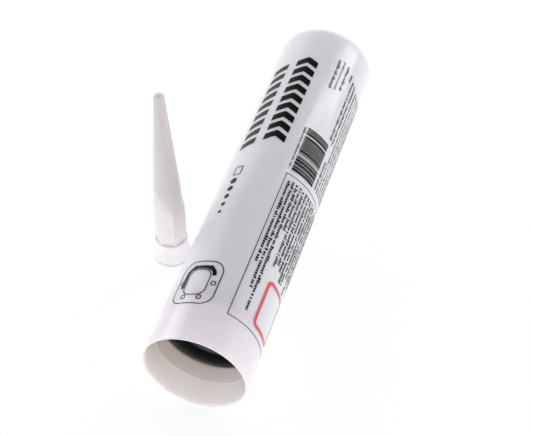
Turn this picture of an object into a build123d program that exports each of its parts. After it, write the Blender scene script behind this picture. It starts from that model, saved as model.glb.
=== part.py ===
from build123d import *
from math import cos, pi
import os

# A sealant cartridge lying on its side, with its plunger, its paste and its loose nozzle standing beside it.
# Millimetres. The origin is the centre of the open rear end, +Y runs along the tube to its head and +Z is up.

# Barrel: a straight tube with a stepped mouth, a rounded shoulder and a short neck that is moulded shut
barrel_diameter = 49.5
barrel_wall = 1.5
body_length = 217.0
mouth_step = 0.35
mouth_depth = 13.0
rim_bevel = 0.5
shoulder_round = 6.0
head_thickness = 2.2
head_inner_bevel = 4.0

# Neck: the core that carries the thread, with a hollow nib that is cut off before use
neck_diameter = 13.1
neck_wall = 2.3
neck_length = 10.5
neck_end_bevel = 0.6
nib_wall = 1.0
nib_length = 2.5
nib_taper = 1.4

# Plunger: a web between a rear cup and a bevelled front skirt, sealed by two lips
plunger_depth = 23.0
plunger_length = 15.0
cup_depth = 4.6
cup_wall = 1.0
web_thickness = 2.4
lip_clearance = 0.05
lip_width = 1.8
lip_ramp = 0.8
waist_drop = 0.8
nose_length = 5.0
nose_drop = 4.2
nose_wall = 1.6
nose_stop_clearance = 0.3

# Sealant: the paste between plunger and head
paste_wall_clearance = 0.15
paste_plunger_clearance = 0.3

# Nozzle socket: a flared skirt round the thread
nozzle_height = 108.2
socket_diameter = 14.2
socket_depth = 11.5
skirt_diameter = 19.5
skirt_rim_height = 2.5
skirt_edge_bevel = 0.4
collar_diameter = 16.4
flare_top = 10.0
collar_top = 13.3
collar_edge_bevel = 0.5

# Nozzle grip: six flats between a groove and the foot of the cone, with all corners bevelled at both ends
grip_flats = 14.0
grip_sides = 6
grip_edge_round = 0.5
grip_foot = 14.1
grip_shoulder = 39.6
grip_top = 42.0
grip_groove_drop = 0.2
grip_turn = 8.0

# Nozzle cone, which starts inside the grip's bevelled top, and the channel in it
cone_overlap = 2.0
cone_taper = 0.0672
tip_edge_bevel = 0.3
channel_diameter = 10.8
outlet_diameter = 2.0

# Place of the standing nozzle beside the barrel
nozzle_gap = 7.4
nozzle_station = 82.3

# Sizes that follow
barrel_radius = barrel_diameter / 2
bore_radius = barrel_radius - barrel_wall
mouth_radius = bore_radius + mouth_step
head_inside = body_length - head_thickness
neck_radius = neck_diameter / 2
neck_bore_radius = neck_radius - neck_wall
neck_end = body_length + neck_length
nib_foot_radius = neck_bore_radius + nib_wall
nib_tip_radius = nib_foot_radius - nib_taper
nib_end = neck_end + nib_length

lip_radius = bore_radius - lip_clearance
waist_radius = lip_radius - waist_drop
cup_radius = lip_radius - cup_wall
nose_radius = lip_radius - nose_drop
nose_bore_radius = nose_radius - nose_wall
web_front = cup_depth + web_thickness
front_cup_radius = waist_radius - nose_wall
front_lip_end = plunger_length - nose_length
front_lip_start = front_lip_end - lip_width
plunger_front = plunger_depth + plunger_length
plunger_travel = head_inside - nose_stop_clearance - plunger_front

socket_radius = socket_diameter / 2
skirt_radius = skirt_diameter / 2
collar_radius = collar_diameter / 2
flat_radius = grip_flats / 2
corner_radius = flat_radius / cos(pi / grip_sides)
groove_radius = flat_radius - grip_groove_drop
cone_foot = grip_top - cone_overlap
tip_radius = flat_radius - cone_taper * (nozzle_height - cone_foot)
channel_radius = channel_diameter / 2
outlet_radius = outlet_diameter / 2
nozzle_across = barrel_radius + nozzle_gap + skirt_radius


def rounded(section, corner, radius):
    """The section with the corner nearest to a point rounded."""
    return fillet(section.vertices().sort_by_distance(Vector(*corner))[0], radius)


def bevelled(section, corner, length):
    """The section with the corner nearest to a point cut off at 45 degrees."""
    return chamfer(section.vertices().sort_by_distance(Vector(*corner))[0], length)


def closed_section(*points):
    """A flat section from its corners, each a radius and a place along the axis."""
    return make_face(Polyline(*points, close=True))


def turned_about_tube(section):
    """A solid turned about the tube's axis."""
    return revolve(section, axis=Axis.Y)


def turned_upright(section):
    """A solid turned about an upright axis."""
    return revolve(Plane.XZ * section, axis=Axis.Z)


def barrel():
    """The tube, its head and its closed neck, as one moulding."""
    rim = (barrel_radius, 0)
    shoulder = (barrel_radius, body_length)
    neck_edge = (neck_radius, neck_end)
    inner_corner = (bore_radius, head_inside)
    section = closed_section(
        (mouth_radius, 0),
        rim,
        shoulder,
        (neck_radius, body_length),
        neck_edge,
        (nib_foot_radius, neck_end),
        (nib_tip_radius, nib_end),
        (0, nib_end),
        (0, nib_end - nib_wall),
        (nib_tip_radius - nib_wall, nib_end - nib_wall),
        (neck_bore_radius, neck_end),
        (neck_bore_radius, head_inside),
        inner_corner,
        (bore_radius, mouth_depth),
        (mouth_radius, mouth_depth),
    )
    section = rounded(section, shoulder, shoulder_round)
    section = bevelled(section, rim, rim_bevel)
    section = bevelled(section, inner_corner, head_inner_bevel)
    section = bevelled(section, neck_edge, neck_end_bevel)
    return turned_about_tube(section)


def plunger():
    """The follower: lips that meet the bore, a cup for the push plate and a nose that fits the head."""
    section = closed_section(
        (0, cup_depth),
        (cup_radius, cup_depth),
        (cup_radius, 0),
        (lip_radius, 0),
        (lip_radius, lip_width),
        (waist_radius, lip_width + lip_ramp),
        (waist_radius, front_lip_start - lip_ramp),
        (lip_radius, front_lip_start),
        (lip_radius, front_lip_end),
        (nose_radius, plunger_length),
        (nose_bore_radius, plunger_length),
        (front_cup_radius, front_lip_start),
        (front_cup_radius, web_front),
        (0, web_front),
    )
    return turned_about_tube(Pos(0, plunger_depth) * section)


def sealant():
    """The paste, from inside the plunger's front skirt to the inside of the neck."""
    gap = paste_plunger_clearance
    side = paste_wall_clearance
    rear = plunger_depth + web_front + gap
    paste_radius = bore_radius - side
    paste_head = head_inside - side
    neck_paste_radius = neck_bore_radius - side
    head_corner = (paste_radius, paste_head)
    section = closed_section(
        (0, rear),
        (nose_bore_radius - gap, rear),
        (nose_bore_radius - gap, plunger_front + gap),
        (paste_radius, plunger_front + gap),
        head_corner,
        (neck_paste_radius, paste_head),
        (neck_paste_radius, neck_end - side),
        (0, neck_end - side),
    )
    section = bevelled(section, head_corner, head_inner_bevel)
    return turned_about_tube(section)


def nozzle_core():
    """The round parts of the nozzle: flared skirt, groove under the grip, and cone."""
    skirt_edge = (skirt_radius, 0)
    collar_edge = (collar_radius, collar_top)
    tip_edge = (tip_radius, nozzle_height)
    flare_start = (collar_radius, flare_top)
    flare_end = (skirt_radius, skirt_rim_height)
    downwards = (0, -1)
    above_flare = Polyline(
        flare_start,
        collar_edge,
        (groove_radius, collar_top),
        (groove_radius, cone_foot),
        (flat_radius, cone_foot),
        tip_edge,
        (0, nozzle_height),
        (0, 0),
        skirt_edge,
        flare_end,
    )
    section = make_face(above_flare + TangentArc(flare_start, flare_end, tangent=downwards))
    section = bevelled(section, skirt_edge, skirt_edge_bevel)
    section = bevelled(section, collar_edge, collar_edge_bevel)
    section = bevelled(section, tip_edge, tip_edge_bevel)
    return turned_upright(section)


def nozzle_grip():
    """Six flats with softened edges, bevelled by the cones of a turned envelope at both ends."""
    hexagon = RegularPolygon(corner_radius, grip_sides)
    hexagon = fillet(hexagon.vertices(), grip_edge_round)
    prism = extrude(Pos(0, 0, grip_foot) * Rot(0, 0, grip_turn) * hexagon, amount=grip_top - grip_foot)
    bevel = corner_radius - groove_radius
    envelope = closed_section(
        (0, grip_foot),
        (groove_radius, grip_foot),
        (corner_radius, grip_foot + bevel),
        (corner_radius, grip_shoulder),
        (groove_radius, grip_top),
        (0, grip_top),
    )
    return prism & turned_upright(envelope)


def nozzle_channel():
    """The hollow: the socket, the wide channel through the grip and the taper to the outlet."""
    section = closed_section(
        (0, 0),
        (socket_radius, 0),
        (socket_radius, socket_depth),
        (channel_radius, socket_depth),
        (channel_radius, cone_foot),
        (outlet_radius, nozzle_height),
        (0, nozzle_height),
    )
    return turned_upright(section)


def nozzle():
    """The loose nozzle, standing on its skirt at the height of the barrel's underside."""
    solid = nozzle_core() + nozzle_grip() - nozzle_channel()
    return Pos(-nozzle_across, nozzle_station, -barrel_radius) * solid


os.makedirs("parts", exist_ok=True)
pieces = {
    "barrel": barrel(),
    "plunger": plunger(),
    "sealant": sealant(),
    "nozzle": nozzle(),
}
for name, solid in pieces.items():
    export_step(solid, f"parts/{name}.step")
print(f"plunger travel {plunger_travel:.2f} mm, nozzle tip diameter {2 * tip_radius:.2f} mm")
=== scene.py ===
# %% [markdown]
# # A sealant cartridge and its loose nozzle
# The object is a plastic tube for a caulking gun. It lies on its side with its open rear end towards us, a
# black plunger sits a thumb's width inside, and a long nozzle stands beside it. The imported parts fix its
# size and place, so they are loaded first, and the visible pieces are built around them.

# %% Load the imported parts
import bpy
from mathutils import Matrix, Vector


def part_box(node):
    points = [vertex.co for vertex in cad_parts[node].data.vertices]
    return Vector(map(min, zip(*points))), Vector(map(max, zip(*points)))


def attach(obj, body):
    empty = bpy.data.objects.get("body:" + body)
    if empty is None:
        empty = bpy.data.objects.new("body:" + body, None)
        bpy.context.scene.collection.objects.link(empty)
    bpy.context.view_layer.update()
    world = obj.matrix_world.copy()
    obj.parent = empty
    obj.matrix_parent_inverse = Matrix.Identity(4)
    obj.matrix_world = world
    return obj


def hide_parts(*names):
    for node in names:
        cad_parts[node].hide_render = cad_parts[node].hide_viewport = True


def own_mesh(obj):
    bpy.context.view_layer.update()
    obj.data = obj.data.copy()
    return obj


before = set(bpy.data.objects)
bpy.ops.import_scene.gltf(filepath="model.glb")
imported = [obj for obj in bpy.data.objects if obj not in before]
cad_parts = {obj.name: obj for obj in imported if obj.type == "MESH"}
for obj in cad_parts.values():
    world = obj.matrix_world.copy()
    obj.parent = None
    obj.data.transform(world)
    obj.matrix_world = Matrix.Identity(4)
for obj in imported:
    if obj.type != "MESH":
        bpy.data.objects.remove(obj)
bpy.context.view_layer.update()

import math

import bmesh
import bpy
import numpy as np
from mathutils import Matrix, Vector

# %% [markdown]
# A moulder thinks in millimetres and Blender in metres, so all shapes are worked out in millimetres and
# scaled once, when a mesh is made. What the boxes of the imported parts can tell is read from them, and the
# rest are walls and edges that a box can't show.

# %% Sizes read from the parts, in millimetres
mm = 0.001
full_turn = 2 * np.pi


def node_box(name):
    """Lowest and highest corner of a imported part, in millimetres."""
    return [np.array(corner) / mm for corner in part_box(name)]


barrel_low, barrel_high = node_box("barrel")
plunger_low, plunger_high = node_box("plunger")
sealant_low, sealant_high = node_box("sealant")
nozzle_low, nozzle_high = node_box("nozzle")

tube_radius = barrel_high[0]
neck_tip = barrel_high[1]
floor_height = barrel_low[2]
nozzle_height = nozzle_high[2] - nozzle_low[2]
nozzle_axis = (nozzle_low[:2] + nozzle_high[:2]) / 2
print(f"tube radius {tube_radius:.2f}, neck tip at {neck_tip:.1f}")
print(f"nozzle {nozzle_height:.1f} tall at {nozzle_axis}")

# %% [markdown]
# Every piece here is a turned form: a profile carried round an axis. A profile is a short list of corners,
# where a third number is the radius of the rounding. Rounded edges matter on moulded plastic, because the
# thin highlights along them show how thick the wall is.

# %% Profiles from corners and roundings
def divided(path, spacing):
    """The same path with every run that is longer than the spacing cut into equal steps."""
    runs = np.diff(path, axis=0)
    counts = np.maximum(np.ceil(np.hypot(runs[:, 0], runs[:, 1]) / spacing).astype(int), 1)
    run_of = np.repeat(np.arange(len(runs)), counts)
    step = np.arange(counts.sum()) - np.repeat(np.cumsum(counts) - counts, counts)
    share = (step / counts[run_of])[:, None]
    return np.vstack([path[run_of] + share * runs[run_of], path[-1:]])


def rounded_corner(before, corner, after, radius, steps):
    """An arc that touches both runs; its centre is radius / sin(half angle) away on the bisector."""
    back = (before - corner) / np.linalg.norm(before - corner)
    ahead = (after - corner) / np.linalg.norm(after - corner)
    half = np.arccos(np.clip(back @ ahead, -1, 1)) / 2
    bisector = (back + ahead) / np.linalg.norm(back + ahead)
    centre = corner + bisector * radius / np.sin(half)
    start = corner + back * radius / np.tan(half) - centre
    end = corner + ahead * radius / np.tan(half) - centre
    sweep = np.pi - 2 * half
    share = np.linspace(0, 1, steps + 1)[:, None]
    return centre + (np.sin((1 - share) * sweep) * start + np.sin(share * sweep) * end) / np.sin(sweep)


def profile(corners, spacing, steps=8):
    """Points along a profile; a corner is (radius, along) or (radius, along, rounding)."""
    spots = np.array([corner[:2] for corner in corners], float)
    parts = [spots[:1]]
    for index in range(1, len(corners) - 1):
        rounding = corners[index][2] if len(corners[index]) > 2 else 0
        spot = spots[index : index + 1]
        if rounding:
            spot = rounded_corner(spots[index - 1], spots[index], spots[index + 1], rounding, steps)
        parts.append(spot)
    parts.append(spots[-1:])
    return divided(np.vstack(parts), spacing)


# %% [markdown]
# A turned surface is a grid: rows follow the profile, and columns go round the axis and close on
# themselves. Rows that end on the axis close in a fan round one point, so every piece is a sealed shell,
# as a real solid is. Blender could spin a profile too, but a grid of numbers lets threads, flats and dents
# be added to its radius.

# %% Meshes from grids
def placed(name, points, faces, sharp_degrees=32):
    """A mesh object from points in millimetres: outward faces, smooth but for its sharp edges."""
    mesh = bpy.data.meshes.new(name)
    mesh.from_pydata((points * mm).tolist(), [], faces)
    shell = bmesh.new()
    shell.from_mesh(mesh)
    bmesh.ops.recalc_face_normals(shell, faces=shell.faces[:])
    shell.to_mesh(mesh)
    shell.free()
    mesh.shade_smooth()
    mesh.set_sharp_from_angle(angle=math.radians(sharp_degrees))
    piece = bpy.data.objects.new(name, mesh)
    bpy.context.scene.collection.objects.link(piece)
    print(f"{name}: {len(mesh.vertices)} points, {len(mesh.polygons)} faces")
    return piece


def quads(a, b, c, d):
    """Faces from four arrays of point numbers, taken corner by corner."""
    return np.stack([a, b, c, d], -1).reshape(-1, 4)


def sealed_skin(name, grid, poles=None):
    """Quads over a grid whose columns close; two poles end its rows in fans, else its rows close too."""
    rows, columns = grid.shape[:2]
    number = np.arange(rows * columns).reshape(rows, columns)
    number = np.hstack([number, number[:, :1]])
    points = grid.reshape(-1, 3)
    fans = []
    if poles is None:
        number = np.vstack([number, number[:1]])
    else:
        first = np.full(columns, len(points))
        fans = np.stack([first, number[0, 1:], number[0, :-1]], -1).tolist()
        fans += np.stack([first + 1, number[-1, :-1], number[-1, 1:]], -1).tolist()
        points = np.vstack([points, poles])
    faces = quads(number[:-1, :-1], number[1:, :-1], number[1:, 1:], number[:-1, 1:])
    return placed(name, points, faces.tolist() + fans)


# %% [markdown]
# The tube lies along Y, with its angle counted from the top towards +X, and the nozzle stands along Z.
# Both carry the same right-hand thread, one outside and one inside, so its form is worked out once, as a
# share from root to crest. A soft fade lets threads and marks run out.

# %% Places round the axes, thread and fade
thread_pitch = 3.0
thread_height = 0.45
thread_middle = 0.5
thread_steepness = 0.9
thread_run_out = 1.0


def about_tube(radius, along, angle):
    """Points on the lying tube: x = radius sin(angle), y = along, z = radius cos(angle)."""
    return np.stack(np.broadcast_arrays(radius * np.sin(angle), along, radius * np.cos(angle)), -1)


def about_nozzle(radius, height, angle):
    """Points on the standing nozzle: radius cos(angle) and radius sin(angle) from its axis, z = height."""
    x = nozzle_axis[0] + radius * np.cos(angle)
    y = nozzle_axis[1] + radius * np.sin(angle)
    return np.stack(np.broadcast_arrays(x, y, nozzle_low[2] + height), -1)


def thread_ridge(along, angle):
    """Height share of a helical ridge: a cosine of (along / pitch - turns), clipped at crest and root."""
    phase = along / thread_pitch - angle / full_turn
    return np.clip(thread_middle + thread_steepness * np.cos(full_turn * phase), 0, 1)


def faded(value, start, end, run):
    """1 between start and end, falling smoothly to 0 over a run at each end."""
    share = np.clip(np.minimum(value - start, end - value) / run, 0, 1)
    return share * share * (3 - 2 * share)


print(f"thread: pitch {thread_pitch} mm, {thread_height} mm high")

# %% [markdown]
# ## The barrel
# The barrel is one moulding: a straight tube with a slightly wider mouth, a rounded shoulder, and a
# threaded neck that is moulded shut with a nib. It could be a cylinder with modifiers, but one closed
# profile gives the wall, the mouth's step and the neck at once. It runs from the nib down the outside,
# round the rim and up the inside.

# %% Barrel profile
print_height = 0.05
skin_radius = tube_radius - print_height
neck_radius = 6.55
neck_bore = 4.25
neck_end = 227.5
head_face = 217.0
head_inside = 214.8
mouth_radius = 23.6
mouth_depth = 13.0
lead_in = 0.4
bore_radius = 23.25
nib_foot = 5.25
nib_top = 3.85
nib_wall = 1.0
fine_rows_end = neck_radius + 2
coarse_rows_start = neck_radius + 3

neck_side = profile(
    [
        (nib_top / 2, neck_tip),
        (nib_top, neck_tip, 0.35),
        (nib_foot, neck_end, 0.25),
        (neck_radius, neck_end, 0.5),
        (neck_radius, head_face, 0.6),
        (fine_rows_end, head_face),
    ],
    spacing=0.2,
)
tube_side = profile(
    [
        (coarse_rows_start, head_face),
        (skin_radius, head_face, 6.0),
        (skin_radius, 0, 0.6),
        (mouth_radius + lead_in, 0, 0.15),
        (mouth_radius, 3 * lead_in, 0.3),
        (mouth_radius, mouth_depth, 0.12),
        (bore_radius, mouth_depth, 0.12),
        (bore_radius, head_inside, 4.5),
        (neck_bore, head_inside, 0.4),
        (neck_bore, neck_end, 0.2),
        (nib_top - nib_wall, neck_tip - nib_wall, 0.2),
        (nib_top / 2 - nib_wall / 2, neck_tip - nib_wall),
    ],
    spacing=3.0,
)
barrel_profile = np.vstack([neck_side, tube_side])
print(f"barrel profile: {len(barrel_profile)} points")

# %% [markdown]
# The profile is carried round the tube's axis. The thread is added to the radius of the neck's rows alone,
# and fades out at both ends. The real rim has a small nick low on its left, so there the rim's rows are
# pushed in along the tube by a bell curve of the distance round it.

# %% Barrel surface
barrel_columns = 272
tolerance = 0.01
thread_margin = 0.6
barrel_angle = np.linspace(0, full_turn, barrel_columns, endpoint=False)[None, :]
barrel_r = barrel_profile[:, :1]
barrel_y = barrel_profile[:, 1:]

on_neck = (np.abs(barrel_r - neck_radius) < tolerance) & (barrel_y < neck_end - thread_margin / 2)
threaded = on_neck * faded(barrel_y, head_face + thread_margin, neck_end - thread_margin, thread_run_out)
neck_thread = thread_height * thread_ridge(barrel_y - head_face, barrel_angle) * threaded

chip_angle = math.radians(218)
chip_half_width = 0.8
chip_depth = 0.7
chip_reach = 1.6
round_from_chip = (barrel_angle - chip_angle) * mouth_radius / chip_half_width
chip = chip_depth * np.exp(-round_from_chip**2) * np.clip(1 - barrel_y / chip_reach, 0, 1)

barrel_grid = about_tube(barrel_r + neck_thread, barrel_y + chip, barrel_angle)
barrel_poles = [[0, neck_tip, 0], [0, neck_tip - nib_wall, 0]]
barrel = sealed_skin("barrel_shell", barrel_grid, barrel_poles)

# %% [markdown]
# ## The plunger
# The plunger is a black moulded disc with a cup behind, where the gun's push plate presses, two lips that
# wipe the wall, and a bevelled skirt in front. Its profile goes from the cup's middle out over the lips to
# the middle of the front, with places counted from its rear edge.

# %% Plunger surface
plunger_rear = plunger_low[1]
plunger_front = plunger_high[1]
plunger_length = plunger_front - plunger_rear
lip_radius = plunger_high[0]
lip_width = 1.8
lip_ramp = 0.8
front_lip = 10.0
cup_radius = lip_radius - 1.0
cup_depth = 4.6
web_front = 7.0
waist_radius = lip_radius - 0.8
nose_wall = 1.6
nose_radius = lip_radius - 4.2
nose_bore = nose_radius - nose_wall
front_cup = waist_radius - nose_wall
inner_ring = 1.0
round_columns = 192

plunger_profile = profile(
    [
        (inner_ring, cup_depth),
        (cup_radius, cup_depth, 0.5),
        (cup_radius, 0, 0.3),
        (lip_radius, 0, 0.3),
        (lip_radius, lip_width, 0.3),
        (waist_radius, lip_width + lip_ramp, 0.3),
        (waist_radius, front_lip - lip_width - lip_ramp, 0.3),
        (lip_radius, front_lip - lip_width, 0.3),
        (lip_radius, front_lip, 0.5),
        (nose_radius, plunger_length, 0.5),
        (nose_bore, plunger_length, 0.5),
        (front_cup, front_lip - lip_width, 0.5),
        (front_cup, web_front, 0.5),
        (inner_ring, web_front),
    ],
    spacing=2.0,
)
round_angle = np.linspace(0, full_turn, round_columns, endpoint=False)[None, :]
plunger_grid = about_tube(plunger_profile[:, :1], plunger_rear + plunger_profile[:, 1:], round_angle)
plunger_poles = [[0, plunger_rear + cup_depth, 0], [0, plunger_rear + web_front, 0]]
plunger = sealed_skin("plunger_disc", plunger_grid, plunger_poles)

# %% [markdown]
# ## The paste
# The paste fills the tube from inside the plunger's skirt to the neck. It can't be seen, but it is there,
# and it flattens towards the head as the plunger moves. It is one more turned profile, a little clear of
# its neighbours so that no two surfaces share a place.

# %% Paste surface
paste_gap = 0.4
paste_rear = sealant_low[1]
paste_front = sealant_high[1]
paste_radius = sealant_high[0] - 0.02
paste_core = nose_bore - paste_gap
paste_step = plunger_front + paste_gap
paste_head = head_inside - 0.3
paste_neck = neck_bore - 0.2

paste_profile = profile(
    [
        (inner_ring, paste_rear),
        (paste_core, paste_rear, 0.8),
        (paste_core, paste_step, 0.3),
        (paste_radius, paste_step, 0.8),
        (paste_radius, paste_head, 5.0),
        (paste_neck, paste_head, 0.6),
        (paste_neck, paste_front, 0.6),
        (inner_ring, paste_front),
    ],
    spacing=6.0,
)
paste_grid = about_tube(paste_profile[:, :1], paste_profile[:, 1:], round_angle)
paste = sealed_skin("sealant_paste", paste_grid, [[0, paste_rear, 0], [0, paste_front, 0]])

# %% [markdown]
# ## The nozzle
# The nozzle is moulded in natural polyethylene: a flared skirt over the thread, a groove, a six-sided grip
# and a long hollow cone. The grip's flats run out into the cone without a step. A hexagon fused to a cone
# would leave a hard seam there, so the radius is a smooth maximum of two shapes: the cone, and a hexagon
# with bevelled ends.

# %% Nozzle sizes and the form of its grip
grip_sides = 6
side_angle = full_turn / grip_sides
grip_flat = 7.0
grip_corner = 7.99
grip_corner_ease = 0.03
grip_blend = 0.04
grip_turn = math.radians(8.0)
grip_foot = 14.1
grip_shoulder = 39.6
grip_top = 42.0
groove_radius = 6.8
notch_depth = 0.35
bevel_slope = 0.4
cone_foot = 40.0
cone_taper = 0.0672
collar_radius = 8.2
collar_top = 13.3
flare_top = 10.0
skirt_rim = 2.5
socket_radius = 7.1
socket_depth = 11.5
channel_radius = 5.4
outlet_radius = 1.0
skirt_radius = (nozzle_high[0] - nozzle_low[0]) / 2 - 0.01
tip_radius = grip_flat - cone_taper * (nozzle_height - cone_foot)


def smooth_max(first, second, blend):
    """The larger of two radii with a soft change-over: (a + b + sqrt((a - b)^2 + blend^2)) / 2."""
    return (first + second + np.sqrt((first - second) ** 2 + blend**2)) / 2


def hexagon_radius(angle):
    """Distance to a hexagon: flat / cos(angle from the flat's middle), with its corners eased."""
    from_flat = (angle - grip_turn) % side_angle - side_angle / 2
    flat = grip_flat / np.cos(from_flat)
    return -smooth_max(-flat, np.full_like(flat, -grip_corner), grip_corner_ease)


def top_bevel(height):
    """The cone that bevels the grip's corners; it meets the flats where the long cone starts."""
    return grip_flat + bevel_slope * (cone_foot - height)


def foot_notch(height):
    """How far the hexagon steps in at its foot: a notch of even depth with a 45 degree bevel above it."""
    return np.clip(grip_foot + notch_depth - height, 0, notch_depth)


print(f"nozzle tip {2 * tip_radius:.2f} across, skirt {2 * skirt_radius:.2f} across")

# %% [markdown]
# The nozzle's profile goes from the tip down the outside, round the skirt's foot, and up the socket and
# the channel back to the tip, so the tip has a real hole. Rows lie close where the grip and the threads
# need them and wide apart on the plain cone. The flare is a parabola, which leaves the collar straight
# down and opens towards the rim.

# %% Nozzle profile
cone_rows_end = cone_foot + 4
grip_rows_start = cone_foot + 3.8
grip_rows_waist = cone_foot - 7
grip_rows_end = collar_top + 2
groove_rows_start = collar_top + 1.9
socket_lip = 0.8
socket_margin = 0.9
flare_points = 25

outer_top = profile(
    [(outlet_radius, nozzle_height), (tip_radius, nozzle_height, 0.5), (grip_flat, cone_rows_end)],
    spacing=1.5,
)
outer_grip = profile(
    [(grip_flat, grip_rows_start), (groove_radius, grip_rows_waist), (groove_radius, grip_rows_end)],
    spacing=0.25,
)
outer_groove = profile(
    [
        (groove_radius, groove_rows_start),
        (groove_radius, collar_top, 0.5),
        (collar_radius, collar_top, 0.5),
        (collar_radius, flare_top),
    ],
    spacing=0.12,
)
flare_share = np.linspace(0, 1, flare_points)[1:-1]
flare_radius = collar_radius + (skirt_radius - collar_radius) * flare_share**2
flare_curve = np.stack([flare_radius, flare_top - (flare_top - skirt_rim) * flare_share], -1)
outer_skirt = profile(
    [
        (skirt_radius, skirt_rim),
        (skirt_radius, 0, 0.45),
        (socket_radius, 0, 0.5),
        (socket_radius, socket_lip),
    ],
    spacing=0.4,
)
inner_socket = profile(
    [(socket_radius, socket_margin), (socket_radius, socket_depth, 0.3), (channel_radius, socket_depth)],
    spacing=0.2,
)
inner_channel = profile(
    [(channel_radius, socket_depth), (channel_radius, cone_foot), (outlet_radius, nozzle_height)],
    spacing=2.5,
)
nozzle_profile = np.vstack(
    [outer_top[1:], outer_grip, outer_groove, flare_curve, outer_skirt, inner_socket, inner_channel[1:]]
)
upper_rows = len(outer_top) - 1 + len(outer_grip) + len(outer_groove)
channel_start = len(nozzle_profile) - len(inner_channel) + 1
print(f"nozzle profile: {len(nozzle_profile)} points, {upper_rows} of them above the flare")

# %% [markdown]
# Round the axis the columns crowd towards the six corners, because a sharp edge needs close points and a
# flat does not. The grip is then merged into the upper rows of the outside, and the thread is taken off
# the socket's radius.

# %% Nozzle surface
nozzle_columns = 240
corner_crowding = 0.75
groove_reach = 0.6
grip_reach = 6
even_turn = np.linspace(0, full_turn, nozzle_columns, endpoint=False)[None, :]
nozzle_angle = grip_turn + even_turn - corner_crowding * np.sin(grip_sides * even_turn) / grip_sides
nozzle_r = np.repeat(nozzle_profile[:, :1], nozzle_columns, axis=1)
nozzle_z = nozzle_profile[:, 1:]
row_number = np.arange(len(nozzle_profile))[:, None]
upper_outside = row_number < upper_rows

cone_radius = grip_flat - cone_taper * (nozzle_z - cone_foot)
core_radius = np.where(nozzle_z > cone_foot, cone_radius, groove_radius)
grip_radius = np.minimum(hexagon_radius(nozzle_angle) - foot_notch(nozzle_z), top_bevel(nozzle_z))
above_groove = nozzle_z > collar_top + groove_reach
round_radius = np.where(above_groove, np.minimum(core_radius, nozzle_r), nozzle_r)
is_grip = upper_outside & (nozzle_z > collar_top - tolerance) & (nozzle_z < grip_top + grip_reach)
nozzle_r = np.where(is_grip, smooth_max(round_radius, grip_radius, grip_blend), nozzle_r)

in_socket = ~upper_outside & (np.abs(nozzle_r - socket_radius) < tolerance)
threaded = in_socket * faded(nozzle_z, socket_margin, socket_depth - socket_margin, thread_run_out)
nozzle_r = nozzle_r - thread_height * thread_ridge(nozzle_z, nozzle_angle) * threaded
nozzle = sealed_skin("nozzle_shell", about_nozzle(nozzle_r, nozzle_z, nozzle_angle))

# %% [markdown]
# The finish needs to know three things about each point: how near it is to a corner of the grip, where
# shade is painted, whether it lies on the one flat that gets painted shade, and whether it is inside the
# channel, which gets painted light. They are stored on the mesh as attributes, in the same order as the
# grid.

# %% Marks on the nozzle for its finish
# Painted shade along the grip's corners.
corner_half_width = 0.45
corner_end = cone_foot - 1
corner_run_out = 1.5
# Painted shade on the one flat of the grip that faces left.
shaded_flat_angle = grip_turn + 3.5 * side_angle
shade_half_angle = 0.6
shade_soft_angle = 0.3
shade_end = grip_top + 4
shade_run_out = 3.0

corner_arc = grip_corner * np.abs((nozzle_angle - grip_turn + side_angle / 2) % side_angle - side_angle / 2)
corner_shade_line = np.exp(-((corner_arc / corner_half_width) ** 2)) * upper_outside
corner_shade_line = corner_shade_line * faded(nozzle_z, grip_foot, corner_end, corner_run_out)
from_shaded_flat = np.abs((nozzle_angle - shaded_flat_angle + np.pi) % full_turn - np.pi)
flat_shade_share = faded(from_shaded_flat, -1, shade_half_angle, shade_soft_angle) * upper_outside
flat_shade_share = flat_shade_share * faded(nozzle_z, grip_foot, shade_end, shade_run_out)
# Painted light in the channel, so the tip's hole looks lit.
lit_channel = np.broadcast_to(row_number >= channel_start, nozzle_r.shape)
for name, share in (("corner_shade_line", corner_shade_line), ("shaded_flat", flat_shade_share), ("lit_channel", lit_channel)):
    mark = nozzle.data.attributes.new(name, "FLOAT", "POINT")
    mark.data.foreach_set("value", share.astype("f4").ravel())
    print(f"{name}: mean {share.mean():.3f}")

# %% [markdown]
# ## The print
# The tube is printed in black and red. Ink lies on the skin as a thin raised film, so each field is a
# closed slab wrapped round the tube: it is drawn flat, with s running round the tube from its top and t
# along it, and then rolled on. An image would be quicker, but a slab stays sharp at any distance and has a
# real edge.

# %% Slabs of ink
ink_top = tube_radius - 0.01
ink_bottom = skin_radius - 0.04


def rolled(s, t, radius):
    """A flat point on the tube: its angle from the top is s / skin radius, its place along is t."""
    return about_tube(np.full_like(s, radius), t, s / skin_radius)


def ink_slabs(s, t, loop=False):
    """Closed slabs over grids of flat points, shaped (slabs, across, along): top, bottom and side walls."""
    if loop:
        s, t = s[..., :-1], t[..., :-1]
    points = np.stack([rolled(s, t, ink_bottom), rolled(s, t, ink_top)], 1)
    number = np.arange(points[..., 0].size).reshape(points.shape[:-1])
    if loop:
        number = np.concatenate([number, number[..., :1]], -1)
    bottom, top = number[:, 0], number[:, 1]
    faces = [
        quads(top[:, :-1, :-1], top[:, 1:, :-1], top[:, 1:, 1:], top[:, :-1, 1:]),
        quads(bottom[:, :-1, :-1], bottom[:, :-1, 1:], bottom[:, 1:, 1:], bottom[:, 1:, :-1]),
        quads(bottom[:, 0, :-1], top[:, 0, :-1], top[:, 0, 1:], bottom[:, 0, 1:]),
        quads(bottom[:, -1, :-1], bottom[:, -1, 1:], top[:, -1, 1:], top[:, -1, :-1]),
    ]
    if not loop:
        faces.append(quads(bottom[:, :-1, 0], bottom[:, 1:, 0], top[:, 1:, 0], top[:, :-1, 0]))
        faces.append(quads(bottom[:, :-1, -1], top[:, :-1, -1], top[:, 1:, -1], bottom[:, 1:, -1]))
    return points.reshape(-1, 3), np.vstack(faces)


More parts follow.
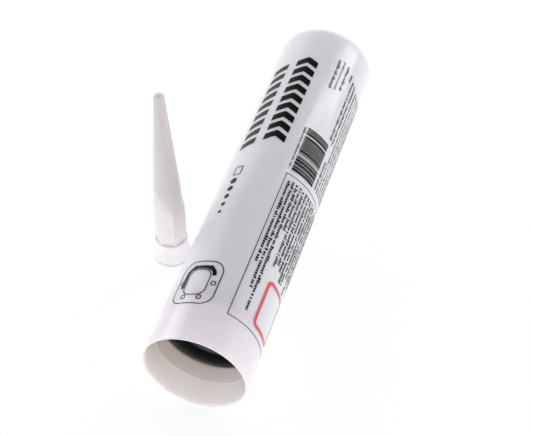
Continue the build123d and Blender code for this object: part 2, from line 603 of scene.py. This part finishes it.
def ink_piece(name, *slab_groups):
    """One printed piece from several groups of slabs."""
    points = np.vstack([group[0] for group in slab_groups])
    starts = np.cumsum([0] + [len(group[0]) for group in slab_groups[:-1]])
    faces = np.vstack([group[1] + start for group, start in zip(slab_groups, starts)])
    return placed(name, points, faces.tolist(), sharp_degrees=40)


print(f"ink stands {ink_top - skin_radius:.2f} mm above the skin")

# %% [markdown]
# The design needs only four kinds of field: rectangles, lines of even width, rectangles with round
# corners, and discs. Each is a function that takes arrays where many of a kind are wanted.

# %% Simple fields
def blocks(s_low, s_high, t_low, t_high, across=2):
    """Rectangles from arrays of their four limits, divided across so that they follow the curve."""
    share = np.linspace(0, 1, across)[None, :, None]
    limits = (s_low, s_high, t_low, t_high)
    s_low, s_high, t_low, t_high = (np.ravel(limit)[:, None, None] for limit in limits)
    s = np.broadcast_to(s_low + (s_high - s_low) * share, (len(s_low), across, 2))
    t = np.concatenate([t_low, t_high], -1) + np.zeros((1, across, 1))
    return ink_slabs(s, t)


def stroke(s, t, width, closed=False):
    """A line along flat points: each point is offset half the width to both sides of its tangent."""
    along = np.stack([s, t], -1)
    if closed:
        tangent = np.roll(along[:-1], -1, axis=0) - np.roll(along[:-1], 1, axis=0)
        tangent = np.vstack([tangent, tangent[:1]])
    else:
        tangent = np.gradient(along, axis=0)
    tangent = tangent / np.linalg.norm(tangent, axis=1, keepdims=True)
    normal = np.stack([tangent[:, 1], -tangent[:, 0]], -1)
    sides = np.stack([along - normal * width / 2, along + normal * width / 2])[None]
    return ink_slabs(sides[..., 0], sides[..., 1], closed)


def rounded_loop(s_middle, t_middle, s_size, t_size, radius, steps=12):
    """A closed rectangle with round corners: a quarter circle about each corner's centre, joined by runs."""
    quarter = np.linspace(0, full_turn / 4, steps)
    turn = (np.arange(4)[:, None] * full_turn / 4 + quarter).ravel()
    s = s_middle + np.repeat([1, -1, -1, 1], steps) * (s_size / 2 - radius) + radius * np.cos(turn)
    t = t_middle + np.repeat([1, 1, -1, -1], steps) * (t_size / 2 - radius) + radius * np.sin(turn)
    path = np.stack([s, t], -1)
    return divided(np.vstack([path, path[:1]]), spacing=1.0).T


def discs(s_middle, t_middle, radius, count=9):
    """Square grids bent to discs: s = u sqrt(1 - v^2 / 2) and t = v sqrt(1 - u^2 / 2) of the radius."""
    u, v = np.meshgrid(np.linspace(-1, 1, count), np.linspace(-1, 1, count), indexing="ij")
    s_middle, t_middle, radius = (np.ravel(value)[:, None, None] for value in (s_middle, t_middle, radius))
    s = s_middle + radius * u * np.sqrt(1 - v**2 / 2)
    t = t_middle + radius * v * np.sqrt(1 - u**2 / 2)
    return ink_slabs(s, t)


# %% [markdown]
# A row of chevrons points to the head, with a row of leaning slats beside it. Both are bands of even
# width, bent or leaning along the tube, and repeated at an even pitch by adding arrays.

# %% Chevrons and slats
band_count = 9
band_pitch = 7.0
band_points = 9
band_places = np.arange(band_count)[:, None, None] * band_pitch
chevron_start = 126.5
chevron_arm = 4.4
chevron_point = 3.4
chevron_limits = (-8.4, 2.8)
slat_start = 122.5
slat_width = 4.3
slat_lean = 2.6
slat_edge = -21.5
slat_length = 8.7

rising = np.linspace(0, 1, band_points)
up_and_down = np.concatenate([rising, np.linspace(1, 0, band_points)[1:]])[None, :, None]
chevron_t = chevron_start + band_places + up_and_down * chevron_point
chevron_t = np.concatenate([chevron_t, chevron_t + chevron_arm], -1)
chevron_s = np.linspace(*chevron_limits, up_and_down.size)[None, :, None]
chevrons = ink_piece("print_chevrons", ink_slabs(np.broadcast_to(chevron_s, chevron_t.shape), chevron_t))

slat_across = rising[None, :, None]
slat_t = slat_start + band_places + slat_lean * slat_across
slat_t = np.concatenate([slat_t, slat_t + slat_width], -1)
slat_s = np.broadcast_to(slat_edge + slat_length * slat_across, slat_t.shape)
slats = ink_piece("print_slats", ink_slabs(slat_s, slat_t))

# %% [markdown]
# Near the open end a line drawing shows a flange with bolt holes and a bead of paste laid on part of it.
# Further up stands a row of growing dots with a small box above. All are strokes and discs, gathered in
# one piece.

# %% Flange drawing and dots
flange_middle = np.array([-9.5, 33.0])
flange_size = np.array([21.0, 25.0])
flange_line = 0.5
opening_size = flange_size - 10.0
bead_size = flange_size - 7.0
bead_width = 1.9
bolt_reach = (8.1, 10.1)
bolt_radius = 1.1
bolt_count = 6
ring_points = 29
dot_count = 5
dot_line = -15.0
dot_start = 78.0
dot_step = 5.2
dot_radii = (1.0, 1.9)
dot_box_line = 0.6

bolt_turn = np.linspace(0, full_turn, bolt_count, endpoint=False)
bolt_s = flange_middle[0] + bolt_reach[0] * np.cos(bolt_turn)
bolt_t = flange_middle[1] + bolt_reach[1] * np.sin(bolt_turn)
ring_turn = np.linspace(0, full_turn, ring_points)
ring_s = bolt_radius * np.cos(ring_turn)
ring_t = bolt_radius * np.sin(ring_turn)
bolt_rings = [stroke(s + ring_s, t + ring_t, flange_line, True) for s, t in zip(bolt_s, bolt_t)]
flange_outer = stroke(*rounded_loop(*flange_middle, *flange_size, radius=6.0), flange_line, True)
flange_inner = stroke(*rounded_loop(*flange_middle, *opening_size, radius=4.0), flange_line, True)
laid_s, laid_t = rounded_loop(*flange_middle, *bead_size, radius=4.6)
laid = slice(0, len(laid_s) // 2)
laid_bead = stroke(laid_s[laid], laid_t[laid], bead_width)

dot_t = dot_start + dot_step * np.arange(dot_count)
dots = discs(np.full(dot_count, dot_line), dot_t, np.linspace(*dot_radii, dot_count))
dot_box_loop = rounded_loop(dot_line, t_middle=106.0, s_size=4.4, t_size=5.6, radius=0.9)
dot_box = stroke(*dot_box_loop, dot_box_line, True)
flange = ink_piece("print_flange", flange_outer, flange_inner, *bolt_rings, laid_bead, dots, dot_box)

# %% [markdown]
# From a step away small print is only a texture, so it is made as rows of little blocks with uneven gaps.
# Widths, heights and gaps are drawn from one seeded generator, so the rows are uneven but the same at
# every run.

# %% A row of small blocks
draw = np.random.default_rng(7)
block_step = 0.5
block_widths = (0.34, 0.62)
wide_gap = 0.62
wide_gap_chance = 0.19
narrow_gap = 0.17
tall_chance = 0.3
low_height = 0.7


def print_row(s_base, t_from, t_to, cap, weight):
    """Limits of the blocks in one row: widths and gaps are shares of the cap height, summed up along it."""
    count = int(abs(t_to - t_from) / (block_step * cap))
    width = cap * weight * draw.uniform(*block_widths, count)
    gap = cap * np.where(draw.random(count) < wide_gap_chance, wide_gap, narrow_gap)
    end = t_from - np.cumsum(width + gap)
    tall = cap * np.where(draw.random(count) < tall_chance, 1.0, low_height)
    keep = end > t_to
    return np.stack([np.full(count, s_base), s_base + tall, end, end + width])[:, keep]


# %% [markdown]
# A thin frame holds the densest rows. They start under its far edge and stop where the red frame needs
# room, and the first ones are bolder. More rows stand beside the bars and towards the head. A row is
# listed as its base, start, end, height and weight.

# %% Frame and rows
frame_low = 20.0
frame_high = 109.5
frame_left = 9.6
frame_right = 62.0
frame_line = 0.4
row_start = frame_high - 3.0
row_pitch = 2.35
row_cap = 1.65
row_margins = (2.2, 2.5)
first_ends = [52.0, 38.0, 27.0, 78.0]
other_ends = (51, 60)
bold_limits = (frame_left + 8, 38, 44)
bold_weights = [1.45, 1.2, 0.95]
last_weight = 0.7

frame_box = [
    blocks(frame_left, frame_left + frame_line, frame_low, frame_high),
    blocks(frame_right - frame_line, frame_right, frame_low, frame_high),
    blocks(frame_left, frame_right, frame_low, frame_low + frame_line, across=60),
    blocks(frame_left, frame_right, frame_high - frame_line, frame_high, across=60),
]
row_base = np.arange(frame_left + row_margins[0], frame_right - row_margins[1], row_pitch)
row_end = np.concatenate([first_ends, draw.uniform(*other_ends, row_base.size - len(first_ends))])
row_weight = np.select([row_base < limit for limit in bold_limits], bold_weights, last_weight)
framed = zip(row_base, row_end, row_weight)
layout = [(base, row_start, end, row_cap, weight) for base, end, weight in framed]
layout += [
    (12.2, 197.0, 174.0, 1.7, 1.1),
    (15.3, 197.0, 175.0, 1.2, 0.7),
    (18.2, 196.0, 177.0, 1.7, 1.1),
    (22.0, 193.0, 186.0, 1.5, 1.0),
    (27.6, 133.0, 113.0, 1.5, 1.0),
    (24.6, 191.0, 146.0, 1.5, 1.0),
    (27.2, 190.0, 144.0, 1.3, 0.9),
]
layout += [(base, 188.0, 113.0, 1.2, 0.8) for base in 30.0 + 2.4 * np.arange(6)]
layout += [(9.2, 142.0, 112.0, 1.3, 0.6)]
row_limits = np.hstack([print_row(*row) for row in layout])
rows = ink_piece("print_rows", *frame_box, blocks(*row_limits))

# %% [markdown]
# The block of bars has random widths and gaps in whole units, so it stands for no number. The red frame is
# a broad stroke with round corners, and the only colour on the tube.

# %% Bars and red frame
bar_unit = 0.36
bar_draws = 40
bar_limits = (11.2, 25.6)
bar_start = 112.2
bar_stop = 143.0
red_line = 1.8

bar_width = bar_unit * draw.choice([1, 2, 3, 5], bar_draws)
bar_gap = bar_unit * draw.choice([1, 1, 1, 3], bar_draws)
bar_end = bar_start + np.cumsum(bar_width + bar_gap)
bar_fit = bar_end < bar_stop
bar_low, bar_high = (np.full(bar_fit.sum(), limit) for limit in bar_limits)
bar_slabs = blocks(bar_low, bar_high, (bar_end - bar_width)[bar_fit], bar_end[bar_fit], across=18)
bars = ink_piece("print_bars", bar_slabs)
red_loop = rounded_loop(s_middle=32.0, t_middle=37.0, s_size=17.0, t_size=25.0, radius=2.5)
red_frame = ink_piece("print_red_frame", stroke(*red_loop, red_line, True))

# %% [markdown]
# ## Finishes
# Materials are built from a few kinds of node again and again: noise, a change of range, a mix of two
# colours and a little arithmetic. One helper sets or links a node's inputs from a table, and the others
# use it, so each finish below reads as a list of tones and where they lie.

# %% Helpers for nodes
def feed(tree, node, inputs):
    """Inputs of a node from a table: a socket is linked, and anything else is the input's own value."""
    for key, value in inputs.items():
        if isinstance(value, bpy.types.NodeSocket):
            tree.links.new(value, node.inputs[key])
        else:
            node.inputs[key].default_value = value


def add_node(tree, kind, inputs=None, **settings):
    """A node of a kind, with its plain settings and its inputs."""
    made = tree.nodes.new(kind)
    for key, value in settings.items():
        setattr(made, key, value)
    feed(tree, made, inputs or {})
    return made


def noise(tree, vector, scale, detail):
    """A noise texture on a vector."""
    inputs = {"Vector": vector, "Scale": scale, "Detail": detail}
    return add_node(tree, "ShaderNodeTexNoise", inputs).outputs["Fac"]


def ranged(tree, value, from_low, from_high, to_low, to_high, smooth=False):
    """A value mapped from one range to another, held at the ends."""
    inputs = dict(enumerate((value, from_low, from_high, to_low, to_high)))
    curve = "SMOOTHSTEP" if smooth else "LINEAR"
    return add_node(tree, "ShaderNodeMapRange", inputs, interpolation_type=curve).outputs["Result"]


def mixed(tree, share, first, second):
    """Two colours mixed by a share; each is a plain colour or a socket."""
    first, second = ((*tone, 1) if isinstance(tone, tuple) else tone for tone in (first, second))
    return add_node(tree, "ShaderNodeMix", {0: share, 6: first, 7: second}, data_type="RGBA").outputs[2]


def maths(tree, operation, *values):
    """The result of an operation on sockets or numbers, in the order of its inputs."""
    return add_node(tree, "ShaderNodeMath", dict(enumerate(values)), operation=operation).outputs[0]


def surface_point(tree):
    """The point on the surface in Object coordinates."""
    return add_node(tree, "ShaderNodeTexCoord").outputs["Object"]


def split_point(tree):
    """X, Y and Z of the point on the surface."""
    return add_node(tree, "ShaderNodeSeparateXYZ", {0: surface_point(tree)}).outputs


# %% [markdown]
# All the plastics share two effects: a slow drift of tone and gloss from uneven cooling, and a fine grain
# from the mould. They are one node group, so each finish sets only its own scales. The group puts out
# values that vary over the surface, and each material feeds them to its own shader's colour, roughness and
# bump.

# %% Shared moulding effect
smudge_fineness = 5
grain_strength = 0.5


def moulding_group():
    """A group with Drift Scale and Grain Scale in, and Drift, Smudge and Grain out, each from 0 to 1."""
    group = bpy.data.node_groups.new("moulded_surface", "ShaderNodeTree")
    for name in ("Drift Scale", "Grain Scale"):
        group.interface.new_socket(name, in_out="INPUT", socket_type="NodeSocketFloat")
    for name in ("Drift", "Smudge", "Grain"):
        group.interface.new_socket(name, in_out="OUTPUT", socket_type="NodeSocketFloat")
    scales = add_node(group, "NodeGroupInput").outputs
    place = surface_point(group)
    drift = noise(group, place, scales["Drift Scale"], detail=2)
    finer = maths(group, "MULTIPLY", scales["Drift Scale"], smudge_fineness)
    smudge = noise(group, place, finer, detail=5)
    results = {
        "Drift": ranged(group, drift, 0.3, 0.7, 0, 1, True),
        "Smudge": ranged(group, smudge, 0.5, 0.75, 0, 1, True),
        "Grain": noise(group, place, scales["Grain Scale"], detail=2),
    }
    add_node(group, "NodeGroupOutput", results)
    return group


def finish(name, drift_scale, grain_scale, grain_depth, roughness, **plain):
    """A material and its drift; roughness is its range over the smudges, and plain holds shader values."""
    material = bpy.data.materials.new(name)
    material.use_nodes = True
    tree = material.node_tree
    scales = {"Drift Scale": drift_scale, "Grain Scale": grain_scale}
    surface = add_node(tree, "ShaderNodeGroup", scales, node_tree=moulded_surface).outputs
    grain = {"Distance": grain_depth * mm, "Strength": grain_strength, "Height": surface["Grain"]}
    inputs = {socket.replace("_", " "): value for socket, value in plain.items()}
    inputs["Roughness"] = ranged(tree, surface["Smudge"], 0, 1, *roughness)
    inputs["Normal"] = add_node(tree, "ShaderNodeBump", grain).outputs["Normal"]
    feed(tree, tree.nodes["Principled BSDF"], inputs)
    return material, surface["Drift"]


def coloured(material, colour):
    """The material with a colour socket fed to its shader."""
    tree = material.node_tree
    feed(tree, tree.nodes["Principled BSDF"], {"Base Color": colour})
    print(f"{material.name}: {len(tree.nodes)} nodes")
    return material


moulded_surface = moulding_group()
print("shared group:", moulded_surface.name, [item.name for item in moulded_surface.interface.items_tree])

# %% [markdown]
# The barrel is glossy grey-white polyethylene that lets some light in, with a cool cast outside. Its bore
# is painted warmer and darker: painted warm bounce light, and painted shade that deepens towards the
# plunger and on the left. Beside the plunger's rear edge a dark band, a little askew, is painted shade and a
# paste smear on the wall. A mask by distance from the axis parts inside from outside, painted shade greys
# the rim and dims its highlight, and a spot round the nick is darker.

# %% Barrel finish
cool_tones = (0.745, 0.713, 0.787), (0.772, 0.739, 0.812)
mouth_tone = (0.725, 0.662, 0.745)
# Painted warm light and shade in the bore, darker towards the plunger and on the left.
bore_shade_tones = (0.77, 0.73, 0.714), (0.575, 0.532, 0.502)
shade_slope = 0.4
# Painted shade and a paste smear in a band beside the plunger's rear edge.
shade_and_smear_tone = (0.03, 0.026, 0.024)
shade_and_smear_slope = 0.03
shade_and_smear_share = 0.95
shade_and_smear_start = (plunger_rear - np.array([2.4, 0.2])) * mm
shade_and_smear_end = (plunger_rear + np.array([1.5, 4.0])) * mm
bore_limits = np.array([mouth_radius + lead_in, skin_radius]) * mm
head_limits = np.array([head_inside - 4, head_inside]) * mm
mouth_limits = np.array([mouth_depth, 3 * mouth_depth]) * mm
# Painted shade that greys the rim and dims its highlight.
rim_shade_tone = (0.60, 0.555, 0.575)
rim_shade_share = 0.7
rim_shade_limits = np.array([0.3, 1.1]) * mm
# A darker spot round the nick.
nick_dark_tone = (0.10, 0.09, 0.08)
nick_dark_share = 0.75
nick_dark_limits = np.array([0.5, 1.0]) * mm
nick_spot_place = about_tube(skin_radius - 0.4, 0.3, chip_angle) * mm


def axis_distance(tree):
    """Distance from the tube's axis, place along it and place across it."""
    x, y, z = split_point(tree)
    flat = add_node(tree, "ShaderNodeCombineXYZ", {"X": x, "Z": z}).outputs[0]
    length = add_node(tree, "ShaderNodeVectorMath", {0: flat}, operation="LENGTH")
    return length.outputs["Value"], y, x


def askew(tree, along, across, slope):
    """A place along the tube that lags behind on one side: along - slope * across."""
    return maths(tree, "MULTIPLY_ADD", across, -slope, along)


def bore_shade_colour(tree, along, across):
    """Painted warm light and shade on the bore by depth, and the band of painted shade and paste smear where
    its two fades overlap.
    """
    deeper_shade = ranged(tree, askew(tree, along, across, shade_slope), 0, plunger_rear * mm, 0, 1)
    starting = ranged(tree, askew(tree, along, across, shade_and_smear_slope), *shade_and_smear_start, 0, shade_and_smear_share, True)
    ending = ranged(tree, along, *shade_and_smear_end, 1, 0, True)
    band = maths(tree, "MULTIPLY", starting, ending)
    return mixed(tree, band, mixed(tree, deeper_shade, *bore_shade_tones), shade_and_smear_tone)


def darkened_nick(tree):
    """A spot round the nick: a share that falls with distance from the nick's place."""
    ends = {0: surface_point(tree), 1: nick_spot_place.tolist()}
    distance = add_node(tree, "ShaderNodeVectorMath", ends, operation="DISTANCE").outputs["Value"]
    return ranged(tree, distance, *nick_dark_limits, nick_dark_share, 0, True)


def barrel_finish():
    """Glossy cool white outside, with painted warm light and shade inside the bore."""
    material, drift = finish(
        "barrel_plastic", drift_scale=22, grain_scale=900, grain_depth=0.01, roughness=(0.28, 0.31), IOR=1.5,
        Coat_Weight=0.7, Coat_Roughness=0.08, Subsurface_Weight=0.85, Subsurface_Scale=0.0055,
        Subsurface_Radius=(1.0, 0.95, 0.93)
    )
    tree = material.node_tree
    distance, along, across = axis_distance(tree)
    by_mouth = ranged(tree, along, *mouth_limits, 1, 0, True)
    outside = mixed(tree, by_mouth, mixed(tree, drift, *cool_tones), mouth_tone)
    in_bore = ranged(tree, distance, *bore_limits, 1, 0, True)
    behind_head = ranged(tree, along, *head_limits, 1, 0, True)
    inside = maths(tree, "MULTIPLY", in_bore, behind_head)
    colour = mixed(tree, inside, outside, bore_shade_colour(tree, along, across))
    # Painted shade on the rim.
    rim_shade = ranged(tree, along, *rim_shade_limits, rim_shade_share, 0, True)
    colour = mixed(tree, rim_shade, colour, rim_shade_tone)
    return coloured(material, mixed(tree, darkened_nick(tree), colour, nick_dark_tone))


finishes = {"barrel": barrel_finish()}

# %% [markdown]
# The nozzle is natural polyethylene, milky and satin, with light scattered inside it. Its thick grip is
# paler than its thin cone, which greys towards the tip. The skirt is palest, with painted shade along its
# foot rim. The marks stored on the mesh paint shade along the grip's corners and on one flat, and paint
# light into the channel, so the tip's hole looks lit.

# %% Nozzle finish
thin_tones = (0.615, 0.575, 0.588), (0.655, 0.615, 0.628)
thick_tones = (0.76, 0.735, 0.738), (0.80, 0.775, 0.778)
tip_tone = (0.565, 0.527, 0.54)
skirt_tone = (0.80, 0.792, 0.79)
# Painted shade along the skirt's foot rim.
foot_shade_tone = (0.60, 0.585, 0.59)
thin_heights = (grip_shoulder - 6, grip_top + 10)
tip_heights = (60, nozzle_height)
skirt_heights = (collar_top - 1, collar_top + 0.5)
foot_shade_heights = (skirt_rim - 0.6, skirt_rim + 0.2)
# Painted shade on the grip's corners and on one flat, and painted light in the channel.
mark_tones = {
    "corner_shade_line": (0.5, (0.52, 0.49, 0.495)),
    "shaded_flat": (0.8, (0.66, 0.635, 0.638)),
    "lit_channel": (1.0, (0.85, 0.83, 0.83)),
}


def nozzle_finish():
    """Natural polyethylene; each mark has its largest share and its tone."""
    material, drift = finish(
        "nozzle_plastic", drift_scale=60, grain_scale=1400, grain_depth=0.005, roughness=(0.28, 0.3),
        IOR=1.5, Subsurface_Weight=0.8, Subsurface_Scale=0.003, Subsurface_Radius=(1.0, 0.93, 0.95)
    )
    tree = material.node_tree
    height = split_point(tree)["Z"]

    def by_height(heights, start, end, smooth=True):
        """A share that goes from start to end between two heights on the nozzle."""
        low, high = (nozzle_low[2] + np.array(heights)) * mm
        return ranged(tree, height, low, high, start, end, smooth)

    thick = mixed(tree, drift, *thick_tones)
    thin = mixed(tree, drift, *thin_tones)
    wall = mixed(tree, by_height(thin_heights, 0, 1), thick, thin)
    wall = mixed(tree, by_height(tip_heights, 0, 1, smooth=False), wall, tip_tone)
    wall = mixed(tree, by_height(skirt_heights, 1, 0), wall, skirt_tone)
    # Painted shade along the skirt's foot rim.
    wall = mixed(tree, by_height(foot_shade_heights, 1, 0), wall, foot_shade_tone)
    for name, (most, tone) in mark_tones.items():
        mark = add_node(tree, "ShaderNodeAttribute", attribute_name=name).outputs["Fac"]
        wall = mixed(tree, ranged(tree, mark, 0, 1, 0, most), wall, tone)
    return coloured(material, wall)


finishes["nozzle"] = nozzle_finish()

# %% [markdown]
# The plunger is satin black; painted light makes its web greyer, and painted shade darkens its cup wall
# with depth. The paste and the inks each drift between two tones of one colour. The inks have a thin coat,
# because they lie under the tube's own gloss.

# %% Plunger, paste and inks
# Painted light greys the web, and painted shade darkens the cup wall with depth.
web_light_tones = (0.13, 0.141, 0.17), (0.158, 0.17, 0.203)
cup_shade_tones = (0.04, 0.04, 0.043), (0.003, 0.003, 0.0035)
web_light_limits = (cup_radius - np.array([0.9, 0.6])) * mm
cup_shade_limits = (plunger_rear + np.array([0, cup_depth])) * mm


def plunger_finish():
    """Satin black: painted light greys the web inside a mask by distance, and painted shade darkens the cup
    wall with depth.
    """
    material, drift = finish(
        "plunger_plastic", drift_scale=40, grain_scale=1500, grain_depth=0.02, roughness=(0.35, 0.45),
        Specular_IOR_Level=0.35
    )
    tree = material.node_tree
    distance, along = axis_distance(tree)[:2]
    web = ranged(tree, distance, *web_light_limits, 1, 0, True)
    wall = mixed(tree, ranged(tree, along, *cup_shade_limits, 0, 1, True), *cup_shade_tones)
    return coloured(material, mixed(tree, web, wall, mixed(tree, drift, *web_light_tones)))


def plain_finish(name, dark, light, **values):
    """A finish between two tones of one colour, with the plunger's grain."""
    material, drift = finish(name, grain_scale=1500, grain_depth=0.02, **values)
    return coloured(material, mixed(material.node_tree, drift, dark, light))


finishes["plunger"] = plunger_finish()
finishes["paste"] = plain_finish(
    "black_paste", (0.008, 0.008, 0.009), (0.016, 0.016, 0.017), drift_scale=40, roughness=(0.15, 0.3)
)
finishes["black"] = plain_finish(
    "black_ink", (0.003, 0.003, 0.0035), (0.005, 0.0045, 0.005), drift_scale=90, roughness=(0.35, 0.45),
    Specular_IOR_Level=0.1, Coat_Weight=0.4, Coat_Roughness=0.06
)
finishes["red"] = plain_finish(
    "red_ink", (0.55, 0.025, 0.035), (0.62, 0.035, 0.045), drift_scale=90, roughness=(0.35, 0.45),
    Coat_Weight=0.7, Coat_Roughness=0.08
)
black_print = [chevrons, slats, flange, rows, bars]
pieces = [(barrel, "barrel"), (nozzle, "nozzle"), (plunger, "plunger"), (paste, "paste"), (red_frame, "red")]
pieces += [(piece, "black") for piece in black_print]
for piece, kind in pieces:
    piece.data.materials.append(finishes[kind])

# %% [markdown]
# ## Light and floor
# The photograph was taken in a white surround: both sides of the tube fade to white, because glossy
# plastic mirrors its surroundings at a glancing angle. So the world is white to the camera and in
# reflections, up to a dark ceiling that keeps the tube's top grey, while for other rays it lights at a
# plain level.

# %% World
def by_ray(tree, lighting, shown):
    """One shader for camera, glossy and transmission rays, and another for the rays that only light."""
    path = add_node(tree, "ShaderNodeLightPath").outputs
    seen = path["Is Camera Ray"]
    for kind in ("Is Glossy Ray", "Is Transmission Ray"):
        seen = maths(tree, "MAXIMUM", seen, path[kind])
    return add_node(tree, "ShaderNodeMixShader", {0: seen, 1: lighting, 2: shown}).outputs[0]


def white_world(horizon, zenith, ceiling):
    """A world that lights from a bright horizon to a dim zenith, and is seen white up to a dark ceiling."""
    world = bpy.data.worlds.new("white_surround")
    bpy.context.scene.world = world
    world.use_nodes = True
    tree = world.node_tree
    direction = add_node(tree, "ShaderNodeTexCoord").outputs["Generated"]
    height = add_node(tree, "ShaderNodeSeparateXYZ", {0: direction}).outputs["Z"]
    lighting = tree.nodes["Background"]
    feed(tree, lighting, {"Color": (1, 0.99, 1, 1), "Strength": ranged(tree, height, 0, 1, horizon, zenith)})
    brightness = ranged(tree, height, 0.3, 0.7, 1, ceiling, True)
    shown = add_node(tree, "ShaderNodeBackground", {"Color": (1, 1, 1, 1), "Strength": brightness})
    surround = by_ray(tree, lighting.outputs[0], shown.outputs[0])
    feed(tree, tree.nodes["World Output"], {"Surface": surround})
    print(f"{world.name}: light {horizon} to {zenith}, ceiling {ceiling}")


white_world(horizon=0.85, zenith=0.62, ceiling=0.04)

# %% [markdown]
# The floor is like a light table: it glows, so it is near white, and a weak matt part still takes the
# object's shadow. Where it is seen it needs little reflection, and where it only lights the object it
# needs more.

# %% Floor
def glowing_white(tree, reflected, glow):
    """A white surface that reflects a share of the light and glows a little."""
    matt = add_node(tree, "ShaderNodeBsdfDiffuse", {"Color": (reflected, reflected, reflected, 1)})
    emission = add_node(tree, "ShaderNodeEmission", {"Strength": glow})
    return add_node(tree, "ShaderNodeAddShader", {0: matt.outputs[0], 1: emission.outputs[0]}).outputs[0]


def white_floor(half_size):
    """A square light table under the tube."""
    corners = np.array([[-1, -1, 0], [1, -1, 0], [1, 1, 0], [-1, 1, 0]]) * half_size + [0, 0, floor_height]
    floor = placed("floor", corners, [[0, 1, 2, 3]])
    material = bpy.data.materials.new("floor_white")
    material.use_nodes = True
    tree = material.node_tree
    tree.nodes.remove(tree.nodes["Principled BSDF"])
    lighting = glowing_white(tree, reflected=0.7, glow=0.85)
    shown = glowing_white(tree, reflected=0.16, glow=0.86)
    feed(tree, tree.nodes["Material Output"], {"Surface": by_ray(tree, lighting, shown)})
    floor.data.materials.append(material)


white_floor(half_size=4000.0)

# %% [markdown]
# Five soft boxes do the rest. Two large ones light the sides, and a long slim one behind the head draws
# the streak along the tube's right. Two small ones fill the open mouth and the top near the head. A
# photographer would hide those two with a grid, so here they light the object but leave no mirror image on
# it.

# %% Lamps
upright = (0, 0, 1)
lengthwise = (0, 1, 0)
leaning = (-0.66, -0.36, 0.66)


def soft_box(name, centre, aim, long_side, size, brightness, mirrored=True):
    """A rectangular lamp facing a point, its length along a direction; power is brightness * pi * area."""
    width, length = size
    lamp = bpy.data.lights.new(name, "AREA")
    lamp.shape = "RECTANGLE"
    lamp.size = width
    lamp.size_y = length
    lamp.energy = brightness * math.pi * width * length
    holder = bpy.data.objects.new(name, lamp)
    holder.visible_camera = False
    holder.visible_glossy = mirrored
    bpy.context.scene.collection.objects.link(holder)
    back = (Vector(centre) - Vector(aim)).normalized()
    side = Vector(long_side).cross(back).normalized()
    turn = Matrix((side, back.cross(side), back)).transposed()
    holder.matrix_world = Matrix.Translation(centre) @ turn.to_4x4()
    print(f"{name}: {lamp.energy:.3f} W")


soft_box("left_box", (-0.75, 0.2, 0.3), (0, 0.1, 0), upright, (0.7, 0.5), 1.3)
soft_box("right_box", (0.78, 0.12, 0.35), (0, 0.1, 0), upright, (0.6, 0.6), 0.84)
soft_box("streak_box", (0.468, 0.775, 0.392), (-0.022, 0.175, 0.082), leaning, (0.1, 0.66), 3.0)
soft_box("fill_box", (-0.17, -0.36, 0.07), (0, 0.01, -0.01), upright, (0.2, 0.15), 1.8, mirrored=False)
soft_box("top_box", (0, 0.3, 0.25), (0, 0.2, 0), lengthwise, (0.25, 0.25), 0.65, mirrored=False)

# %% [markdown]
# ## Camera
# The picture was taken from behind the open end, a little to the right and about 48 degrees up. The place,
# the turn and the focal length were fitted to the outlines of the tube and the nozzle, with the image
# taken as 533 by 436 pixels. Yaw, pitch and roll give three axes, which are the columns of the camera's
# matrix.

# %% Camera at the photograph's angle
image_width = 533
focal_pixels = 1355.0
camera_place = np.array([138.7, -319.8, 497.25])
yaw, pitch, roll = np.radians([-18.03, 48.55, -0.535])

ahead = np.array([np.sin(yaw) * np.cos(pitch), np.cos(yaw) * np.cos(pitch), -np.sin(pitch)])
level = np.array([np.cos(yaw), -np.sin(yaw), 0])
upward = np.cross(level, ahead)
right = np.cos(roll) * level + np.sin(roll) * upward
above = np.cos(roll) * upward - np.sin(roll) * level

lens = bpy.data.cameras.new("photo_camera")
lens.sensor_fit = "HORIZONTAL"
lens.sensor_width = 36.0
lens.lens = focal_pixels * lens.sensor_width / image_width
lens.clip_start = 0.01
camera = bpy.data.objects.new("photo_camera", lens)
bpy.context.scene.collection.objects.link(camera)
turned = np.eye(4)
turned[:3, :3] = np.stack([right, above, -ahead], -1)
turned[:3, 3] = camera_place * mm
camera.matrix_world = Matrix(turned.tolist())
bpy.context.scene.camera = camera
bpy.context.scene.view_settings.view_transform = "Standard"
print(f"camera lens {lens.lens:.1f} mm at {camera_place * mm} m")

# %% [markdown]
# ## Joining the pieces to the moving parts
# Each visible piece stands for a imported part or rides with one. The barrel, its print and the nozzle
# belong to the resting body, the plunger slides, and the paste flattens towards the head in front of it.

# %% Bodies and hidden parts
stand_ins = [
    (barrel, "cartridge", "barrel_plastic", "barrel"),
    (nozzle, "cartridge", "nozzle_plastic", "nozzle"),
    (plunger, "plunger", "plunger_plastic", "plunger"),
    (paste, "cartridge", "sealant_paste", "sealant"),
]
for piece, body, slot, node in stand_ins:
    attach(piece, body)
    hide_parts(node)
for piece in black_print + [red_frame]:
    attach(piece, "cartridge")
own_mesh(paste)
